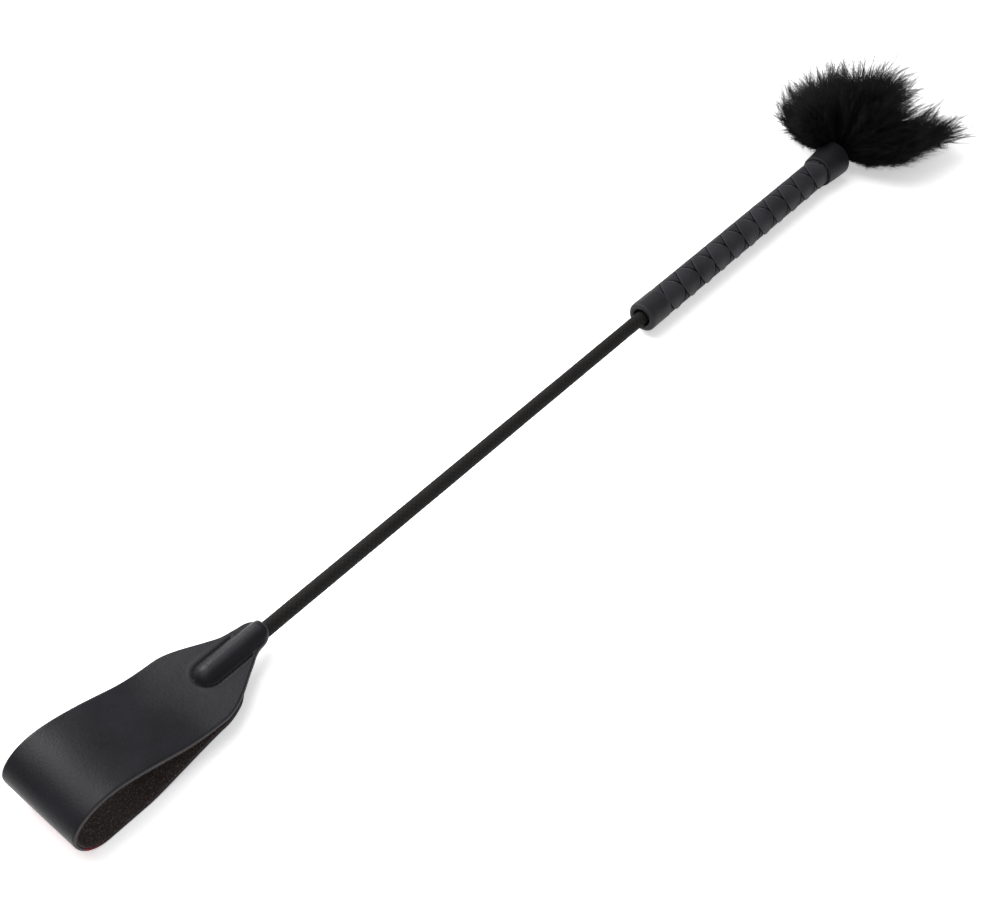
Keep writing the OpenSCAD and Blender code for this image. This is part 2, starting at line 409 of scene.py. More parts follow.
def ripple(seed: int, count: int = 7) -> Callable[..., Array]:
    """Smooth wander from about -1 to 1 over any number of coordinates.

    Args:
        seed: picks the wander; the same seed always gives the same one.
        count: how many waves are added.

    Returns:
        A function of coordinate arrays, already divided by the lump size.
    """
    rng = np.random.default_rng(seed)
    turns = rng.normal(0.0, 1.0, (count, 3)) * 2.2
    shifts = rng.uniform(0.0, 2 * math.pi, count)

    def wander(*axes: Array) -> Array:
        """Value of the wander at those coordinates."""
        total = 0.0
        for turn, shift in zip(turns, shifts):
            total = total + np.sin(sum(a * w for a, w in zip(axes, turn)) + shift)
        return total / math.sqrt(count) * 0.8

    return wander


def smooth(t: Array) -> Array:
    """0 below 0, 1 above 1 and a smooth step between."""
    t = np.clip(t, 0.0, 1.0)
    return t * t * (3 - 2 * t)


def soft_positive(value: Array, round_mm: float) -> Array:
    """value where it is above 0 and 0 below, with a rounded corner."""
    return 0.5 * (value + np.sqrt(value * value + round_mm * round_mm))


def hump(distance: Array, width: float) -> Array:
    """1 where the distance is 0, falling smoothly to nothing over about twice the width."""
    return np.exp(-((distance / width) ** 2))


def round_over(gone: Array, turn: float) -> Array:
    """Share of the full height at a distance from an edge that is rounded over within turn."""
    return np.sqrt(np.clip(1 - (1 - np.clip(gone / turn, 0, 1)) ** 2, 0, 1))


def both_sides(top: Array) -> Array:
    """Numbers of a skin's outer side, followed by the same for its inner side."""
    return np.concatenate([top, top[:, ::-1]], 1)


def make_piece(name: str, points: Array, faces: Iterable[Iterable[int]], finish: Finish, body: str,
               stands_for: Iterable[str] = (), masks: dict[str, Array] | None = None) -> bpy.types.Object:
    """Makes a smooth-shaded object and rides it on its body.

    Args:
        name: the piece's name.
        points: vertices in millimetres, one row each.
        faces: vertex numbers of each face.
        finish: its finish, whose name is also its material slot.
        body: the body it rides on, or nothing for a piece left without a body.
        stands_for: the nodes that it replaces.
        masks: numbers at each vertex that the finish reads.

    Returns:
        The object.
    """
    mesh = bpy.data.meshes.new(name)
    mesh.from_pydata((np.asarray(points) * MM).tolist(), [], [list(f) for f in faces])
    mesh.validate()
    mesh.update()
    mesh.polygons.foreach_set("use_smooth", [True] * len(mesh.polygons))
    for key, values in (masks or {}).items():
        layer = mesh.attributes.new(key, "FLOAT", "POINT")
        layer.data.foreach_set("value", np.asarray(values, np.float32).ravel())
    mesh.materials.append(finish.material())
    piece = bpy.data.objects.new(name, mesh)
    bpy.context.scene.collection.objects.link(piece)
    if stands_for:
        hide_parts(*stands_for)
    if body:
        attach(piece, body)
    log.info("%s: %d faces", name, len(mesh.polygons))
    return piece


def grid_faces(rows: int, cols: int, wrap_rows: bool = False, wrap_cols: bool = False,
               first: int = 0) -> list[tuple[int, int, int, int]]:
    """Quads of a rows x cols grid of vertices.

    Args:
        rows: how many rows.
        cols: how many vertices in a row.
        wrap_rows: whether the last row joins the first.
        wrap_cols: whether each row is a ring.
        first: number of the grid's first vertex.

    Returns:
        The faces.
    """
    return [(first + r * cols + c, first + r * cols + (c + 1) % cols,
             first + (r + 1) % rows * cols + (c + 1) % cols, first + (r + 1) % rows * cols + c)
            for r in range(rows if wrap_rows else rows - 1)
            for c in range(cols if wrap_cols else cols - 1)]


@dataclass(frozen=True)
class Axis:
    """The crop's own axis, parallel to X at a height above the surface."""

    height: float

    def spot(self, x: Array, radius: Array, angle: Array) -> Array:
        """Points at x, radius and angle; the angle runs from straight up towards -Y."""
        x, radius, angle = np.broadcast_arrays(x, radius, angle)
        return np.stack([x, -radius * np.sin(angle), self.height + radius * np.cos(angle)], -1)

    def tube(self, x: Array, radius: Array, bore: float, angle: Array) -> Array:
        """Points of a closed tube: its outer rings, then the bore's ring at the last and the first end."""
        outer, inner = self.spot(x, radius, angle), self.spot(x[[-1, 0]], bore, angle)
        return np.concatenate([outer, inner]).reshape(-1, 3)

    def turned(self, profile: Array, sides: int, swell: Callable[..., Array] | None = None) -> Array:
        """Turns a profile of [x, radius] rows into rings.

        Args:
            profile: the rows, in order.
            sides: vertices in a ring.
            swell: added to the radius, from x and angle.

        Returns:
            Points, ring by ring.
        """
        angle = np.linspace(0, 2 * math.pi, sides, endpoint=False)[None, :]
        x, radius = profile[:, :1], profile[:, 1:]
        extra = 0.0 if swell is None else swell(x + 0 * angle, angle + 0 * x)
        return self.spot(x, radius + extra, angle).reshape(-1, 3)


def rounded(points: list[tuple[float, float]], radius: float, steps: int = 4) -> Array:
    """A closed polygon with its corners rounded.

    Args:
        points: the corners, as (x, y).
        radius: rounding of each corner, at most a third of its sides.
        steps: points put in at each corner.

    Returns:
        The rounded outline.
    """
    out: list[Array] = []
    corners = [np.array(p, float) for p in points]
    for i, corner in enumerate(corners):
        before, after = corners[i - 1], corners[(i + 1) % len(corners)]
        back, ahead = before - corner, after - corner
        cut = min(radius, np.linalg.norm(back) / 3, np.linalg.norm(ahead) / 3)
        start = corner + back / np.linalg.norm(back) * cut
        end = corner + ahead / np.linalg.norm(ahead) * cut
        for t in np.linspace(0, 1, steps):
            out.append((1 - t) ** 2 * start + 2 * t * (1 - t) * corner + t * t * end)
    return np.array(out)


def filled(outline: Array, step: float) -> Array:
    """A closed outline with extra points where its sides are longer than step."""
    out: list[Array] = []
    for i, here in enumerate(outline):
        there = outline[(i + 1) % len(outline)]
        parts = max(1, int(np.linalg.norm(there - here) / step))
        out += [here + (there - here) * k / parts for k in range(parts)]
    return np.array(out)


def node_span(node: str) -> tuple[list[float], list[float]]:
    """Lowest and highest corner of a node, in millimetres."""
    low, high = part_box(node)
    return [float(v) / MM for v in low], [float(v) / MM for v in high]


# ---- flapper


@dataclass
class Flapper:
    """Doubled leather strap: two leaves joined by a fold, with a sewn pocket round the rod's tip."""

    axis: Axis
    fold_x: float
    neck_x: float
    wide: float
    leather_t: float = 1.6
    lining_t: float = 1.0
    seam_gap: float = 0.15
    neck_half: float = 8.6
    shoulder_start: float = 132.0
    shoulder_len: float = 45.0
    end_round: float = 9.0
    loop_rise: float = 16.0
    pocket_r: float = 4.45
    tip_u: float = 101.0
    seam_r: float = 8.1
    seam_end_u: float = 122.0
    flat_u: float = 97.0
    seam_press: float = 0.42
    nose_out: float = 1.4
    under_in: float = 2.0
    under_aside: float = 1.4
    bend_start_u: float = 99.0
    bend_end_u: float = 89.0
    ring_step: float = 1.0

    @property
    def length(self) -> float:
        """From the fold to the end of the neck."""
        return self.neck_x - self.fold_x

    def path(self) -> tuple[Array, Array, Array, Array]:
        """The inner surface seen from the side, from the neck over the top, round the fold and back.

        Returns:
            Distance from the fold, height above the axis, and the outward direction's two parts.
        """
        fold = self.leather_t + self.lining_t - self.nose_out
        sole = -(self.axis.height - self.leather_t - self.lining_t)
        gap, seam, crest, nose_z, sole_u, pull = self.seam_gap, self.flat_u, 20.0, 5.0, 15.0, 1.657
        spans = [
            ((self.length, gap), (seam - self.length, 0), (seam, gap), (seam - self.length, 0)),
            ((seam, gap), (-35, 0), (62, 4), (-32, 10)),
            ((62, 4), (-42, 13), (crest, self.loop_rise), (-42, 0)),
            ((crest, self.loop_rise), (-pull * (crest - fold), 0),
             (fold, nose_z), (0, -pull * (self.loop_rise - nose_z))),
            ((fold, nose_z), (0, -pull * (nose_z - sole)), (sole_u, sole), (pull * (sole_u - fold), 0)),
            ((sole_u, sole), (23, 0), (38, sole), (23, 0)),
            ((38, sole), (30, 0), (seam, -gap), (45, 0)),
            ((seam, -gap), (self.length - seam, 0), (self.length, -gap), (self.length - seam, 0)),
        ]
        spots, heads = [], []
        for p0, m0, p1, m1 in spans:
            p0, m0, p1, m1 = (np.array(v, float)[None, :] for v in (p0, m0, p1, m1))
            count = max(10, int(1.2 * np.linalg.norm(p1 - p0) / self.ring_step))
            t = np.linspace(0, 1, count, endpoint=False)[:, None]
            spots.append((2 * t**3 - 3 * t**2 + 1) * p0 + (t**3 - 2 * t**2 + t) * m0
                         + (3 * t**2 - 2 * t**3) * p1 + (t**3 - t**2) * m1)
            heads.append((6 * t**2 - 6 * t) * p0 + (3 * t**2 - 4 * t + 1) * m0
                         + (6 * t - 6 * t**2) * p1 + (3 * t**2 - 2 * t) * m1)
        spots.append(np.array([[self.length, -gap]]))
        heads.append(np.array([[1.0, 0.0]]))
        spot, head = np.concatenate(spots), np.concatenate(heads)
        head /= np.linalg.norm(head, axis=1, keepdims=True)
        return spot[:, 0], spot[:, 1], head[:, 1], -head[:, 0]

    def half_width(self, u: Array) -> Array:
        """Half the leaf's width at a distance u from the fold."""
        leaf = self.neck_half + (self.wide / 2 - self.neck_half) * smooth(
            (self.shoulder_start - u) / self.shoulder_len)
        past = np.clip((u - (self.length - 7.5)) / self.end_round, 0.0, 0.97)
        return leaf * np.sqrt(1 - past * past)

    def dome(self, u: Array, y: Array, radius: float) -> Array:
        """Height of the pocket's bulge over the rod, above the axis."""
        near_end = np.clip((u - (self.length - 3.0)) / 3.0, 0.0, 1.0)
        radius = radius - 0.5 * near_end**2
        beyond = np.clip(self.tip_u - u, 0.0, None) * 0.82
        return np.sqrt(np.clip(radius**2 - y**2 - beyond**2, 0.0, None))

    def seam_distance(self, u: Array, y: Array) -> Array:
        """Distance in plan from the U of stitches round the rod's tip."""
        arc = np.abs(np.hypot(u - self.tip_u, y) - self.seam_r)
        past = np.clip(u - self.seam_end_u, 0.0, None)
        side = np.hypot(np.abs(y) - self.seam_r, past)
        return np.where(u < self.tip_u, arc, side)

    def sewn(self, u: Array) -> Array:
        """0 on the open leaves, 1 where they are sewn together."""
        return smooth((u - 90.0) / 4.0)

    def surface(self, rows: tuple[Array, ...], share: Array, lift: float, inset: float = 0.0,
                pressed: float = 0.0) -> tuple[Array, Array, Array]:
        """Points of one skin of the strap.

        Args:
            rows: what path() returns.
            share: where each column lies, from -1 to 1 across the strap.
            lift: how far the skin stands off the inner surface, as a number or an array.
            inset: taken off each side.
            pressed: depth of the groove under the stitches.

        Returns:
            Points, each one's distance from the fold, and its distance from the seam.
        """
        u, z, out_u, out_z = (a[:, None] for a in rows)
        side = np.where(np.arange(len(u))[:, None] < len(u) / 2, 1.0, -1.0)
        under = np.where(side < 0, smooth((u - 100.0) / 14.0), 0.0)
        half = self.half_width(u) - inset - self.under_in * under
        lean = 1.2 * smooth((u - 117.0) / 10.0) - 0.7 * hump(u - 103.0, 14.0) + self.under_aside * under
        y = half * share[None, :] + lean
        sway = ripple(3)(u / 46.0, y / 40.0)
        free = smooth((96.0 - u) / 30.0) * smooth(u / 14.0)
        sole = smooth((2.0 - z) / 6.0)
        lift = lift + 0.45 * sway * free * (1 - sole)
        seam = self.seam_distance(u, y)
        lift = lift - pressed * hump(seam, 0.5) * self.sewn(u)
        lift = lift + 0.25 * pressed * hump(seam - 2.0, 1.0) * self.sewn(u)
        place_u, place_z = u + out_u * lift, z + out_z * lift
        radius = self.pocket_r + np.maximum(lift, 0.0)
        rise = soft_positive(self.dome(u, y, radius) - side * place_z, 0.55) * smooth((u - 84.0) / 8.0)
        place_z = place_z + side * rise
        points = np.stack([self.fold_x + place_u, y + 0 * place_u, self.axis.height + place_z], -1)
        return points, u + 0 * y, seam + 0 * y

    def skin(self, name: str, low: float, high: float, inset: float, pressed: float, finish: Finish,
             node: str) -> bpy.types.Object:
        """Makes one closed layer of the strap.

        Args:
            name: the piece's name.
            low: lift of its inner side.
            high: lift of its outer side.
            inset: taken off each side.
            pressed: depth of the stitch groove on its outer side.
            finish: its finish.
            node: the node it stands for.

        Returns:
            The object.
        """
        rows = self.path()
        rim = np.array([0.0, 0.1, 0.3, 0.65, 1.1, 1.7]) / (self.wide / 2)
        inner = np.linspace(-1 + rim[-1] + 0.02, 1 - rim[-1] - 0.02, 76)
        share = np.concatenate([-1 + rim, inner, (1 - rim)[::-1]])
        half = self.half_width(rows[0])[:, None]
        from_edge = (1 - np.abs(share))[None, :] * half
        corner = 0.75 * (high - low)
        rounding = 1 - round_over(from_edge, corner)
        outer, u, _ = self.surface(rows, share, high - 0.6 * (high - low) * rounding, inset, pressed)
        under, _, _ = self.surface(rows, share, low + 0.18 * (high - low) * rounding, inset)
        seam = self.seam_distance(u, outer[..., 1])
        ring = np.concatenate([outer, under[:, ::-1]], 1)
        count, cols = ring.shape[:2]
        faces = grid_faces(count, cols, wrap_cols=True)
        last = (count - 1) * cols
        for c in range(len(share) - 1):
            faces.append((c, cols - 1 - c, cols - 2 - c, c + 1))
            faces.append((last + c, last + c + 1, last + cols - 2 - c, last + cols - 1 - c))
        edge = np.clip(1.3 - from_edge / 0.4, 0, 1)
        edge[[0, -1]] = 1.0
        # Painted shade along the groove under the stitches.
        groove = hump(seam, 0.42) * self.sewn(u) * 1.3
        # Thin red line low along the fold's outer end.
        pinch = smooth(1 - (outer[..., 2] - 7.4) / 0.9) * smooth(1 - (outer[..., 0] - self.fold_x) / 16.0)
        masks = {"edge": both_sides(edge), "groove": np.concatenate([groove, 0 * groove], 1),
                 "worn": both_sides(pinch)}
        piece = make_piece(name, ring.reshape(-1, 3), faces, finish, "", [node], masks)
        self.bend(piece)
        return piece

    def bend(self, piece: bpy.types.Object) -> None:
        """Bakes a piece's placement into its mesh; the piece does not bend."""
        (self.fold_x + self.bend_start_u) * MM
        (self.fold_x + self.bend_end_u) * MM
        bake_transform(piece)

    def seam_line(self, step: float) -> list[tuple[float, float, float]]:
        """Places along the U of stitches.

        Args:
            step: distance from one to the next.

        Returns:
            Distance from the fold, sideways place and heading of each.
        """
        straight, arc = self.seam_end_u - self.tip_u, math.pi * self.seam_r
        places = []
        for k in range(int((2 * straight + arc) / step)):
            s = (k + 0.5) * step
            if s < straight:
                places.append((self.seam_end_u - s, self.seam_r, math.pi))
            elif s < straight + arc:
                a = math.pi / 2 + (s - straight) / self.seam_r
                places.append((self.tip_u + self.seam_r * math.cos(a), self.seam_r * math.sin(a),
                               a + math.pi / 2))
            else:
                places.append((self.tip_u + s - straight - arc, -self.seam_r, 0.0))
        return places

    def leather_height(self, u: float, y: float, side: float) -> float:
        """Height of the leather's outer face over the seam's groove, above the axis."""
        thick = self.seam_gap + self.lining_t + self.leather_t - self.seam_press
        rise = soft_positive(self.dome(np.array(u), np.array(y), self.pocket_r + thick) - thick, 0.55)
        drop = max(0.0, self.flat_u - u) ** 2 * 0.012
        return side * (thick + float(rise) + drop * (1 if side > 0 else 0.2))

    def stitches(self) -> bpy.types.Object:
        """Makes the U of thread on both leaves, each stitch a bowed strand that dives at its ends."""
        points, faces = [], []
        sides, steps, radius, pitch = 8, 7, 0.4, 2.6
        turn = np.linspace(0, 2 * math.pi, sides, endpoint=False)
        runs = [(u, y, a, 2.5, face) for face in (1.0, -1.0) for u, y, a in self.seam_line(pitch)]
        runs += [(self.seam_end_u + 1.2, -self.seam_r - 0.3, 0.5, 1.9, 1.0),
                 (self.seam_end_u + 0.6, -self.seam_r + 0.5, -0.7, 1.7, 1.0)]
        for u, y, heading, long, face in runs:
            base = self.leather_height(u, y, face) + face * 0.16
            ahead = np.array([math.cos(heading), math.sin(heading)])
            first = sum(len(p) for p in points)
            for k in range(steps):
                t = k / (steps - 1) * 2 - 1
                thin = radius * math.sqrt(max(0.06, 1 - t**4))
                middle = np.array([self.fold_x + u, y]) + ahead * long / 2 * t
                dip = -0.55 * t**4 * face
                across = np.array([-ahead[1], ahead[0]])
                points.append(np.stack([middle[0] + across[0] * thin * np.cos(turn),
                                        middle[1] + across[1] * thin * np.cos(turn),
                                        self.axis.height + base + dip + thin * 0.9 * np.sin(turn)], -1))
            faces += grid_faces(steps, sides, wrap_cols=True, first=first)
            faces.append(tuple(range(first + sides - 1, first - 1, -1)))
            faces.append(tuple(range(first + (steps - 1) * sides, first + steps * sides)))
        piece = make_piece("pocket_stitches", np.concatenate(points), faces, Finish.STITCH, "",
                           ["pocket_stitching"])
        self.bend(piece)
        return piece

    def build(self) -> None:
        """Makes the leather, its lining and the stitching."""
        full = self.lining_t + self.leather_t
        self.skin("flapper_outer_leather", self.lining_t, full, 0.0, self.seam_press, Finish.FLAPPER,
                  "flapper_leather")
        self.skin("flapper_suede_lining", 0.0, self.lining_t - 0.03, 0.25, 0.0, Finish.LINING,
                  "flapper_lining")
        self.stitches()


# ---- shaft


@dataclass
class Shaft:
    """Glass-fibre rod in a plaited textile sleeve."""

    axis: Axis
    start_x: float
    end_x: float
    radius: float
    inner: float
    strands: int = 16
    plait_len: float = 3.4
    relief: float = 0.17
    sides: int = 96
    step: float = 0.42

    @staticmethod
    def ridge(turns: Array) -> Array:
        """Height across a strand, from 0 at its sides to 1 on its back."""
        return np.abs(np.sin(math.pi * 2 * turns))

    def sleeve(self) -> bpy.types.Object:
        """Makes the plaited sleeve as a closed tube with the strands' relief."""
        count = int((self.end_x - self.start_x) / self.step)
        x = np.linspace(self.start_x, self.end_x, count)[:, None]
        angle = np.linspace(0, 2 * math.pi, self.sides, endpoint=False)[None, :]
        along, around = x / self.plait_len, angle * self.strands / (4 * math.pi)
        left, right = along + around, along - around
        over = np.cos(2 * math.pi * along) * np.cos(2 * math.pi * around) > 0
        height = (np.where(over, self.ridge(left), self.ridge(right)) * 0.75
                  + 0.25 * self.ridge(left * 4) * self.ridge(right * 4))
        slack = ripple(11)(x / 30.0, np.cos(angle) * 1.5, np.sin(angle) * 1.5)
        radius = self.radius - self.relief + self.relief * height + 0.05 * slack
        points = self.axis.tube(x, radius, self.inner, angle)
        masks = {"raised": np.concatenate([height, 0 * height[:2]])}
        faces = grid_faces(count + 2, self.sides, wrap_rows=True, wrap_cols=True)
        return make_piece("shaft_braid", points, faces, Finish.SLEEVE, CROP, ["shaft_sleeve"], masks)


# ---- handle


@dataclass
class Handle:
    """Plain collars and the crossed leather lacing of the grip, sized round its core."""

    axis: Axis
    lip_x: float
    wrap_x: float
    rear_x: float
    butt_x: float
    grip_r: float = 9.5
    core_r: float = 8.2
    hole_r: float = 5.6
    wide_r: float = 12.0
    lap_count: int = 11
    lead_share: float = 0.57
    tail_share: float = 0.52
    gap: float = 0.3
    roll: float = math.radians(43.0)
    sides: int = 128

    @property
    def pitch(self) -> float:
        """Length that one lap covers."""
        return (self.rear_x - self.wrap_x) / self.lap_count

    def lap_edges(self, index: int, angle: Array) -> tuple[Array, Array]:
        """Where a lap starts and ends along the axis.

        Args:
            index: the lap's number, from the front.
            angle: angle from the lacing's front line.

        Returns:
            The leading and the trailing edge.
        """
        start = self.wrap_x + self.pitch * index
        lead = start + self.pitch * self.lead_share * (1 - np.cos(angle))
        slant = np.sqrt((angle / 1.745) ** 2 + 0.0081) - 0.09
        return lead, start + self.pitch * (1 - self.tail_share * slant) - self.gap

    @property
    def reach(self) -> float:
        """Angle from the front line at which a lap's edges meet."""
        angle = np.linspace(0, math.pi, 1000)
        lead, tail = self.lap_edges(0, angle)
        return float(angle[np.argmax(lead > tail)]) * 0.997

    def laps(self) -> bpy.types.Object:
        """Makes the over strip: leather laps, each tucked under the next one's leading edge."""
        rows, cols = 97, 29
        theta = np.linspace(-self.reach, self.reach, rows)[:, None]
        v = (1 - np.cos(np.linspace(0, math.pi, cols)))[None, :] / 2
        points, faces, edge, groove = [], [], [], []
        for i in range(self.lap_count):
            lead, tail = self.lap_edges(i, theta)
            x = lead + (tail - lead) * v
            from_lead, from_tail = x - lead, tail - x
            soft = ripple(40 + i)(x / 9.0, theta * 1.3)
            bulge = 0.3 * hump(from_tail, 2.2) - 0.12 * hump(from_lead, 1.5)
            edge_on = np.minimum(round_over(from_lead, 0.5), round_over(from_tail, 0.6))
            radius = self.grip_r - 0.75 + (0.75 + bulge) * edge_on + 0.05 * soft
            outer = self.axis.spot(x, radius, theta + self.roll)
            inner = self.axis.spot(x, self.grip_r - 0.85, theta + self.roll)
            first = i * rows * cols * 2
            points += [outer.reshape(-1, 3), inner.reshape(-1, 3)]
            faces += grid_faces(rows, cols, first=first)
            under = grid_faces(rows, cols, first=first + rows * cols)
            faces += [f[::-1] for f in under]
            border = ([(0, c) for c in range(cols)] + [(r, cols - 1) for r in range(1, rows)]
                      + [(rows - 1, c) for c in range(cols - 2, -1, -1)]
                      + [(r, 0) for r in range(rows - 2, 0, -1)])
            ids = [first + r * cols + c for r, c in border]
            deep = rows * cols
            faces += [(ids[k], ids[k - 1], ids[k - 1] + deep, ids[k] + deep) for k in range(len(ids))]
            # Edge mask: paler cut edges of the laps plus a painted highlight inside the tails away from the
            # front line; groove mask (pit): painted shade at the laps' edges.
            away = smooth((np.abs(theta) - 0.3) / 0.4)
            lit = hump(from_tail - 0.45, 0.4) * away + 0.2 * hump(from_lead - 0.5, 0.3)
            pit = hump(np.minimum(from_lead, from_tail), 0.2)
            edge += [lit.ravel() * 0.5, 0 * lit.ravel()]
            groove += [pit.ravel(), 0 * pit.ravel()]
        masks = {"edge": np.concatenate(edge), "groove": np.concatenate(groove)}
        return make_piece("grip_laps", np.concatenate(points), faces, Finish.LAP, CROP,
                          ["wrap_strip_over"], masks)

    def strip(self) -> bpy.types.Object:
        """Makes the under strip, sunk between the laps and crossed by creases on the back."""
        count, sides = int((self.rear_x - self.wrap_x) / 0.45), 144
        x = np.linspace(self.wrap_x, self.rear_x, count)[:, None]
        theta = np.linspace(-math.pi, math.pi, sides, endpoint=False)[None, :]
        past_tail, ahead = np.full((count, sides), 9.0), np.full((count, sides), 9.0)
        inside = np.zeros((count, sides), bool)
        for i in range(-1, self.lap_count + 1):
            lead, tail = self.lap_edges(i, theta)
            past_tail = np.minimum(past_tail, np.where(x > tail - 0.1, np.abs(x - tail), 9.0))
            ahead = np.minimum(ahead, np.where(x < lead + 0.1, np.abs(x - lead), 9.0))
            inside |= (x > lead) & (x < tail)
        crease = np.clip(np.exp(-(((past_tail - 0.5) / 1.3) ** 4))
                         + 0.8 * np.exp(-((ahead / 0.6) ** 4)), 0, 1)
        near = np.minimum(past_tail, ahead)
        radius = np.where(inside, self.grip_r - 0.75, self.grip_r - 0.22 - 0.9 * crease)
        radius = radius + 0.05 * ripple(21)(x / 9.0, np.cos(theta) * 2, np.sin(theta) * 2)
        ends = np.minimum(x - self.wrap_x, self.rear_x - x)
        radius = radius - 0.3 * hump(ends, 0.5)
        points = self.axis.tube(x, radius, self.core_r, theta + self.roll)
        zero = np.zeros((2, sides))
        # The crease is also painted as shade through the groove mask; the edge mask is a faint lighter band
        # 1.3 mm from the laps' edges.
        rim = hump(near - 1.3, 0.4) * 0.15
        masks = {"edge": np.concatenate([rim, zero]), "groove": np.concatenate([crease, zero])}
        faces = [f[::-1] for f in grid_faces(count + 2, sides, wrap_rows=True, wrap_cols=True)]
        return make_piece("grip_under_strip", points, faces, Finish.STRIP, CROP,
                          ["wrap_strip_under"], masks)

    def collar(self, name: str, outline: Array, finish: Finish, node: str, seed: int,
               amount: float) -> bpy.types.Object:
        """Makes a plain leather collar from the outline of its wall.

        Args:
            name: the piece's name.
            outline: closed outline of the wall, rows of [x, radius].
            finish: its finish.
            node: the node it stands for.
            seed: picks the leather's slight unevenness.
            amount: how strong that is.

        Returns:
            The object.
        """
        wander = ripple(seed)
        fine = ripple(seed + 1, 9)

        def swell(x: Array, a: Array) -> Array:
            """Unevenness of the leather at x and angle a."""
            return (amount * wander(x / 12.0, np.cos(a) * 1.6, np.sin(a) * 1.6)
                    + 0.25 * amount * fine(x / 2.5, np.cos(a) * 6, np.sin(a) * 6))

        profile = filled(outline, 0.7)
        points = self.axis.turned(profile, self.sides, swell)
        faces = grid_faces(len(profile), self.sides, wrap_rows=True, wrap_cols=True)
        x = profile[:, 0]
        ends = np.minimum(x - x.min(), x.max() - x)
        rim = hump(ends, 0.8) * np.clip((profile[:, 1] - self.core_r) / 1.0, 0, 1)
        masks = {"edge": np.repeat(rim * 0.5, self.sides), "groove": np.zeros(len(points))}
        return make_piece(name, points, faces, finish, CROP, [node], masks)

    def front_collar(self) -> bpy.types.Object:
        """Makes the front collar with its turned-in lip."""
        x, out, hole = self.lip_x, self.grip_r, self.hole_r
        lip = [(x + 3.4, self.core_r), (x + 3.4, hole + 0.1), (x + 0.9, hole), (x + 0.05, hole + 0.9),
               (x - 0.05, out - 1.6), (x + 1.0, out - 0.1), (x + 3.5, out + 0.1), (x + 8.0, out),
               (self.wrap_x + 0.25, out), (self.wrap_x + 0.25, self.core_r)]
        return self.collar("grip_front_collar", rounded(lip, 0.9), Finish.COLLAR, "front_collar", 5, 0.07)

    def rear_collar(self) -> bpy.types.Object:
        """Makes the flared rear collar with its folded hem."""
        x, end, wide = self.rear_x, self.butt_x, self.wide_r
        hem = self.grip_r + 1.0
        wall = [(x + 0.4, self.core_r), (x + 0.2, hem - 0.6), (x + 0.5, hem), (x + 1.6, hem + 0.35),
                (x + 2.4, hem + 0.2), (x + 9.0, wide - 0.6), (end - 4.0, wide - 0.1), (end - 0.5, wide),
                (end, wide - 0.5), (end - 0.2, wide - 1.4), (end - 12.5, self.core_r)]
        return self.collar("grip_rear_collar", rounded(wall, 0.7), Finish.REAR, "rear_collar", 8, 0.09)

    def build(self) -> None:
        """Makes the grip's leather."""
        self.front_collar()
        self.laps()
        self.strip()
        self.rear_collar()


# ---- tuft


@dataclass(frozen=True)
class Plume:
    """One feather: where its quill points, how long it is and the angles that its barbs fill."""

    number: int
    turn: float
    rise: float
    length: float
    spread: float
    lowest: float
    highest: float
    tail: float = 0.0


# The tuft's feathers, from the one that points most to +Y; the last three stand up.
FAN = [Plume(1, 86, 6, 45, 26, -8, 32), Plume(2, 48, 6, 60, 22, -8, 32), Plume(3, 8, 6, 76, 22, -8, 32),
       Plume(4, -39, 2, 84, 19, -14, 18, 25), Plume(5, -67, 6, 46, 20, -8, 34),
       Plume(6, 100, 50, 34, 50, 24, 70), Plume(7, 8, 48, 46, 46, 28, 90),
       Plume(8, -60, 46, 38, 36, 26, 75)]


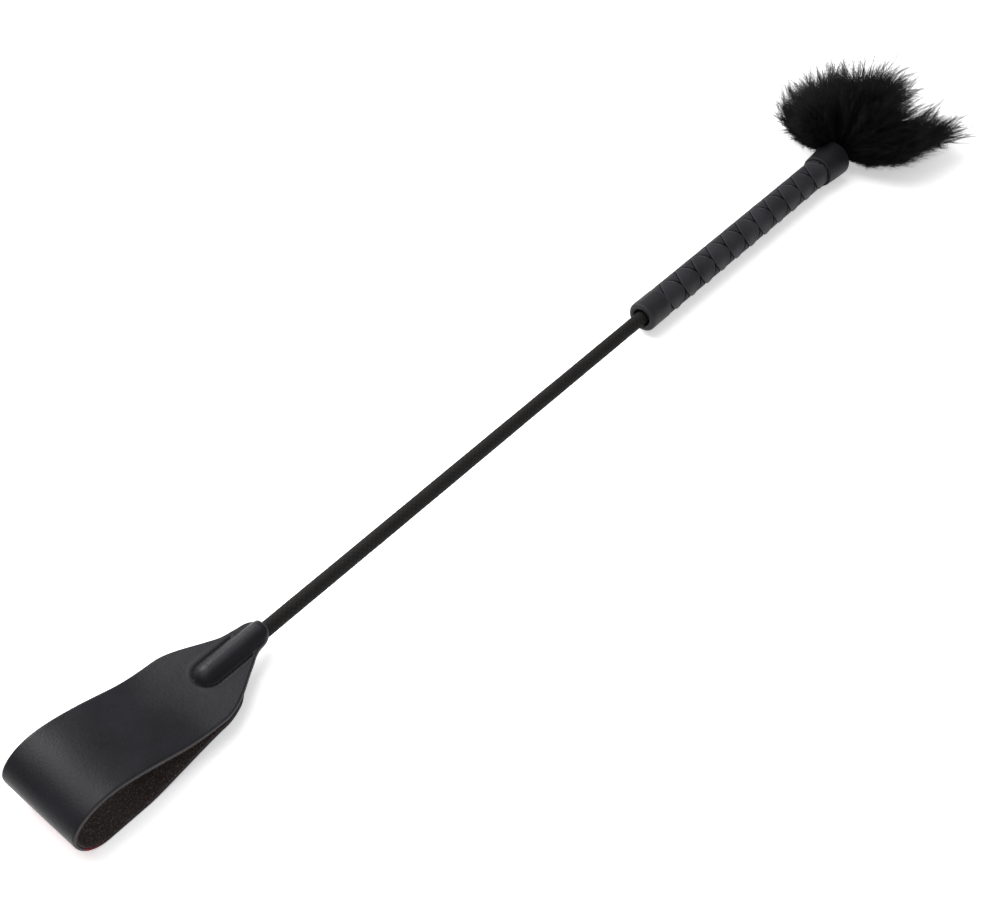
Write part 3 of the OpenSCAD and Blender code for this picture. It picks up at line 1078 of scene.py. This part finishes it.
@dataclass
class Tuft:
    """Black feathers bound together and set in the butt."""

    axis: Axis
    root_x: float
    socket_x: float
    plumes: list[Plume] = field(default_factory=FAN.copy)
    binding_r: float = 3.5
    middle: tuple[float, float, float] = (34.0, 1.5, 17.5)
    half_sizes: tuple[float, float, float] = (63.0, 54.0, 29.0)
    slant: float = math.radians(-49.0)
    clumps: int = 760
    strands: int = 6
    barb_r: float = 0.17
    barb_steps: int = 7
    floor: float = 0.35

    def reach(self, head: Array) -> Array:
        """Distance from the root to the tuft's outline along unit vectors."""
        side = np.array([math.cos(self.slant), math.sin(self.slant), 0.0])
        axes = np.stack([side, [-side[1], side[0], 0.0], [0.0, 0.0, 1.0]])
        basis = axes / np.array(self.half_sizes)[:, None]
        way, start = head @ basis.T, -(basis @ np.array(self.middle))
        a, b, c = (way**2).sum(-1), (way * start).sum(-1), start @ start - 1
        return (np.sqrt(b * b - a * c) - b) / a

    def frame_of(self, plume: Plume) -> tuple[Array, Array, Array]:
        """Unit vectors along a plume, across it and over it."""
        turn, rise = math.radians(plume.turn), math.radians(plume.rise)
        ahead = np.array([math.cos(rise) * math.cos(turn), math.cos(rise) * math.sin(turn), math.sin(rise)])
        across = np.array([-math.sin(turn), math.cos(turn), 0.0])
        return ahead, across, np.cross(ahead, across)

    def spine(self, plume: Plume, t: Array) -> Array:
        """Points of a plume's quill at shares t of its length; it bows a little to one side."""
        ahead, across, over = self.frame_of(plume)
        root = np.array([self.root_x, 0.0, self.axis.height])
        bow = math.sin(plume.number * 2.4)
        t = np.asarray(t, float)[..., None]
        return root + plume.length * (ahead * t + across * 0.07 * bow * np.sin(math.pi * t) * t
                                      + over * 0.05 * np.sin(math.pi * t))

    def strand_points(self, plume: Plume, rng: np.random.Generator) -> tuple[Array, Array]:
        """Centre lines of a plume's barbs.

        Args:
            plume: the feather.
            rng: the feather's own random draws.

        Returns:
            Points as (strand, step, xyz) and the share along each strand.
        """
        clumps, strands, steps = self.clumps, self.strands, self.barb_steps
        turn = np.radians(plume.turn + plume.spread * rng.uniform(-1, 1, clumps))
        low, high = math.radians(plume.lowest), math.radians(plume.highest)
        rise = np.arcsin(rng.uniform(math.sin(low), math.sin(high), clumps))
        head = np.stack([np.cos(rise) * np.cos(turn), np.cos(rise) * np.sin(turn), np.sin(rise)], -1)
        ahead = self.frame_of(plume)[0]
        beside = hump(np.arccos(np.clip(head @ ahead, -1, 1)), 0.16)
        stretch = rng.normal(0.86, 0.03, clumps) + 0.3 * rng.uniform(0, 1, clumps) ** 4
        stretch -= 0.5 * rng.uniform(0, 1, clumps) ** 3
        root = np.array([self.root_x, 0.0, self.axis.height])
        goal = root + head * (self.reach(head) * stretch + plume.tail * beside)[:, None]
        where = rng.uniform(0.0, 0.8, clumps)[:, None] + rng.normal(0, 0.05, (clumps, strands))
        base = self.spine(plume, np.clip(where, 0.03, 0.95))
        goal = goal[:, None] + rng.normal(0, 0.8, (clumps, strands, 3))
        goal = base + (goal - base) * rng.uniform(0.75, 1.06, (clumps, strands, 1))
        span = np.linalg.norm(goal - base, axis=-1, keepdims=True)
        bend = base + ahead * span * 0.22 + (goal - base) * 0.3 + rng.normal(0, 1.0, (clumps, strands, 3))
        bend = bend + rng.normal(0, 1.0, (clumps, 1, 3)) * span * 0.08
        t = np.linspace(0, 1, steps)[None, None, :, None]
        points = ((1 - t) ** 2 * base[:, :, None] + 2 * t * (1 - t) * bend[:, :, None]
                  + t * t * goal[:, :, None])
        points = points.reshape(-1, steps, 3)
        points[..., 2] += soft_positive(self.floor - points[..., 2], 0.8)
        return points, np.broadcast_to(t[0, 0, :, 0], points.shape[:2])

    def tubes(self, lines: Array, radius: Array) -> tuple[Array, list[tuple[int, ...]]]:
        """Three-sided tapering tubes along centre lines, each ending in a point.

        Args:
            lines: points as (strand, step, xyz).
            radius: radius at each step but the last.

        Returns:
            Vertices and faces.
        """
        count, steps = lines.shape[:2]
        head = lines[:, -1] - lines[:, 0]
        head /= np.linalg.norm(head, axis=1, keepdims=True) + 1e-9
        aside = np.cross(head, np.array([0.31, 0.2, 0.93]))
        aside /= np.linalg.norm(aside, axis=1, keepdims=True) + 1e-9
        other = np.cross(head, aside)
        turn = np.array([0.0, 2.0944, 4.1888])
        ring = (aside[:, None, None, :] * np.cos(turn)[None, None, :, None]
                + other[:, None, None, :] * np.sin(turn)[None, None, :, None])
        body = lines[:, :-1, None, :] + ring * radius[None, :, None, None]
        block = np.concatenate([body.reshape(count, -1, 3), lines[:, -1:, :]], 1)
        per = 3 * (steps - 1) + 1
        own = grid_faces(steps - 1, 3, wrap_cols=True)
        tip = [(3 * (steps - 2) + k, 3 * (steps - 2) + (k + 1) % 3, per - 1) for k in range(3)]
        foot = [(2, 1, 0)]
        faces = [tuple(first + v for v in f) for first in range(0, count * per, per)
                 for f in own + tip + foot]
        return block.reshape(-1, 3), faces

    def feather(self, plume: Plume) -> bpy.types.Object:
        """Makes one feather: its quill and some thousands of barbs in loose clumps."""
        rng = np.random.default_rng(100 + plume.number)
        lines, share = self.strand_points(plume, rng)
        steps = lines.shape[1]
        taper = self.barb_r * np.linspace(1.0, 0.5, steps - 1)
        points, faces = self.tubes(lines, taper)
        along = np.concatenate([np.repeat(share[:, :-1], 3, axis=1), share[:, -1:]], 1).ravel()
        t = np.linspace(0, 0.9, 12)
        quill = self.spine(plume, t)[None]
        quill[0, 0] = (self.socket_x, *(quill[0, 1, 1:] * 0.2 + np.array([0.0, self.axis.height * 0.8])))
        stem, stem_faces = self.tubes(quill, np.linspace(0.55, 0.2, 11))
        faces += [tuple(v + len(points) for v in f) for f in stem_faces]
        points = np.concatenate([points, stem])
        along = np.concatenate([along, np.zeros(len(stem))])
        return make_piece(f"feather_{plume.number}_plume", points, faces, Finish.FEATHER, CROP,
                          [f"feather_{plume.number}"], {"along": along})

    def binding(self) -> bpy.types.Object:
        """Makes the thread wound round the quills."""
        turns, end, sides, bore = 11, self.root_x - 0.6, 48, 1.7
        x = np.linspace(self.socket_x, end, turns * 8 + 1)
        wound = self.binding_r - 0.35 + 0.35 * np.abs(np.sin(np.linspace(0, turns * math.pi, len(x))))
        outer = np.stack([x, wound], -1)
        profile = np.concatenate([outer, [[end, bore], [self.socket_x, bore]]])
        points = self.axis.turned(profile, sides)
        faces = grid_faces(len(profile), sides, wrap_rows=True, wrap_cols=True)
        return make_piece("quill_thread", points, faces, Finish.BINDING, CROP, ["quill_binding"])

    def build(self) -> None:
        """Makes the binding and every feather."""
        self.binding()
        for plume in self.plumes:
            self.feather(plume)


# ---- inner parts and the set


@dataclass(frozen=True)
class InnerPart:
    """A part that keeps its own mesh and gets a finish."""

    node: str
    finish: Finish

    def dress(self) -> None:
        """Puts the finish on the part."""
        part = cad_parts[self.node]
        part.data.materials.clear()
        part.data.materials.append(self.finish.material())
        log.info("%s: dressed in %s", self.node, self.finish.value.name)


INNER_PARTS = [InnerPart("tip_cap", Finish.CAP), InnerPart("core_rod", Finish.ROD),
               InnerPart("front_bush", Finish.BUSH), InnerPart("handle_core", Finish.CORE),
               InnerPart("butt_plug", Finish.PLUG)]


@dataclass(frozen=True)
class Lamp:
    """Soft square light that looks at the crop's middle; metres and watts."""

    name: str
    place: tuple[float, float, float]
    size: float
    power: float

    def hang(self) -> None:
        """Hangs the light."""
        data = bpy.data.lights.new(self.name, "AREA")
        data.shape, data.size, data.energy = "SQUARE", self.size, self.power
        lamp = bpy.data.objects.new(self.name, data)
        lamp.location = self.place
        lamp.rotation_euler = (-Vector(self.place)).to_track_quat("-Z", "Y").to_euler()
        bpy.context.scene.collection.objects.link(lamp)


LAMPS = [Lamp("over", (-0.25, 0.6, 1.5), 1.4, 21.0), Lamp("side", (-1.1, -0.5, 0.9), 0.9, 1.0),
         Lamp("rim", (-0.1, 1.2, 0.75), 0.5, 14.0)]


@dataclass(frozen=True)
class Studio:
    """White table, soft light and the camera."""

    aim: tuple[float, float, float]
    heading: float = 49.13
    down: float = 46.482
    focal: float = 55.27
    aside: float = 88.25
    above: float = 83.16
    away: float = 930.5
    floor_half: float = 6.0
    floor_glow: float = 0.45
    sky: float = 0.5

    def directions(self) -> tuple[Array, Array, Array]:
        """Unit vectors to the camera's right, up and ahead."""
        turn, tilt = math.radians(self.heading), math.radians(self.down)
        right = np.array([math.cos(turn), -math.sin(turn), 0.0])
        flat = math.cos(tilt)
        ahead = np.array([math.sin(turn) * flat, math.cos(turn) * flat, -math.sin(tilt)])
        return right, np.cross(right, ahead), ahead

    def camera(self) -> None:
        """Sets up the camera so that the front collar lies aside and above of its middle."""
        right, up, ahead = self.directions()
        place = np.array(self.aim) - right * self.aside - up * self.above - ahead * self.away
        data = bpy.data.cameras.new("camera")
        data.lens, data.sensor_width = self.focal, 36.0
        data.clip_start, data.clip_end = 0.01, 50.0
        rig = bpy.data.objects.new("camera", data)
        rig.location = Vector(place * MM)
        rig.rotation_euler = Vector(ahead).to_track_quat("-Z", "Y").to_euler()
        bpy.context.scene.collection.objects.link(rig)
        bpy.context.scene.camera = rig

    def floor(self) -> None:
        """Lays the plain pale floor."""
        data = bpy.data.meshes.new("floor")
        half = self.floor_half
        data.from_pydata([(-half, -half, 0), (half, -half, 0), (half, half, 0), (-half, half, 0)], [],
                         [(0, 1, 2, 3)])
        floor = bpy.data.objects.new("floor", data)
        bench = Bench("floor")
        haze = bench.noise(bench.place(), 3.0)
        data.materials.append(bench.finish(
            Base_Color=bench.mix(haze, (0.93, 0.93, 0.935), (0.95, 0.95, 0.95)), Roughness=0.7,
            Emission_Color=(1.0, 1.0, 1.0), Emission_Strength=self.floor_glow))
        bpy.context.scene.collection.objects.link(floor)

    def build(self) -> None:
        """Sets up the whole studio."""
        world = bpy.data.worlds.new("studio")
        world.use_nodes = True
        sky = world.node_tree.nodes["Background"]
        sky.inputs[0].default_value = (1.0, 1.0, 1.0, 1.0)
        sky.inputs[1].default_value = self.sky
        bpy.context.scene.world = world
        bpy.context.scene.view_settings.view_transform = "Standard"
        self.camera()
        self.floor()
        for lamp in LAMPS:
            lamp.hang()


def main() -> None:
    """Builds the crop, dresses the inner parts and sets the studio."""
    logging.basicConfig(level=logging.INFO, format="%(name)s %(message)s")
    collar_low, collar_high = node_span("rear_collar")
    axis = Axis((collar_high[2] + collar_low[2]) / 2)
    leaf_low, leaf_high = node_span("flapper_leather")
    sleeve_low, sleeve_high = node_span("shaft_sleeve")
    rod_low, rod_high = node_span("core_rod")
    front_low, front_high = node_span("front_collar")
    binding_low, binding_high = node_span("quill_binding")

    Studio((front_low[0] + AIM_PAST, 0.0, axis.height)).build()
    for part in INNER_PARTS:
        part.dress()
    Flapper(axis, leaf_low[0], leaf_high[0], leaf_high[1] - leaf_low[1]).build()
    Shaft(axis, sleeve_low[0], sleeve_high[0], (sleeve_high[2] - sleeve_low[2]) / 2,
          (rod_high[2] - rod_low[2]) / 2).sleeve()
    Handle(axis, front_low[0], front_high[0], collar_low[0], collar_high[0]).build()
    Tuft(axis, binding_high[0] + ROOT_PAST, binding_low[0] + QUILL_IN).build()


if __name__ == "__main__":
    main()
